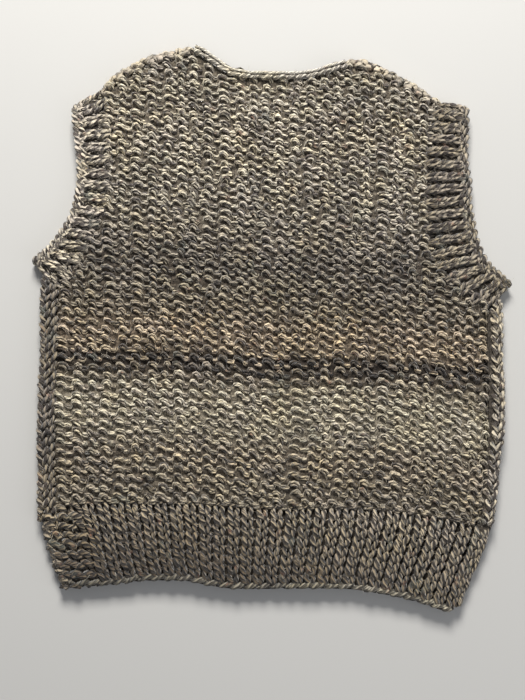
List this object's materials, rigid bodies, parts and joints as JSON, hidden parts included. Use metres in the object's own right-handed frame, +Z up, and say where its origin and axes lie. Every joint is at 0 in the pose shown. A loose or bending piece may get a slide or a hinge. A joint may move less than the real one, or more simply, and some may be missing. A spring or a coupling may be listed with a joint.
{
  "type": "knitted sweater vest",
  "caption": "Hand-knitted chunky sweater vest laid flat, back side up, with a ribbed hem, ribbed armhole bands, rolled side seams and a shallow neckline.",
  "frame": {"origin": "middle of the bounding box, on the surface that the vest lies on", "axes": "+Y from hem to neck, +X to the right seen from above with the neck away, +Z up out of the back of the vest"},
  "size_m": [0.5191, 0.613, 0.018],
  "materials": {
    "body_knit": "marled cream and grey-brown wool yarn, reverse stockinette",
    "rib_knit": "marled grey-brown wool yarn, ribbed",
    "seam_knit": "marled wool yarn, rolled seam",
    "edge_knit": "pale bound-off wool edge"
  },
  "bodies": {
    "root": {"back_panel": "body_knit", "front_panel": "body_knit", "back_hem_rib": "rib_knit", "front_hem_rib": "rib_knit", "armband_left": "rib_knit", "armband_right": "rib_knit", "side_seam_left": "seam_knit", "side_seam_right": "seam_knit", "shoulder_seam_left": "seam_knit", "shoulder_seam_right": "seam_knit", "neck_edge_back": "edge_knit", "neck_edge_front": "edge_knit"}
  },
  "joints": []
}
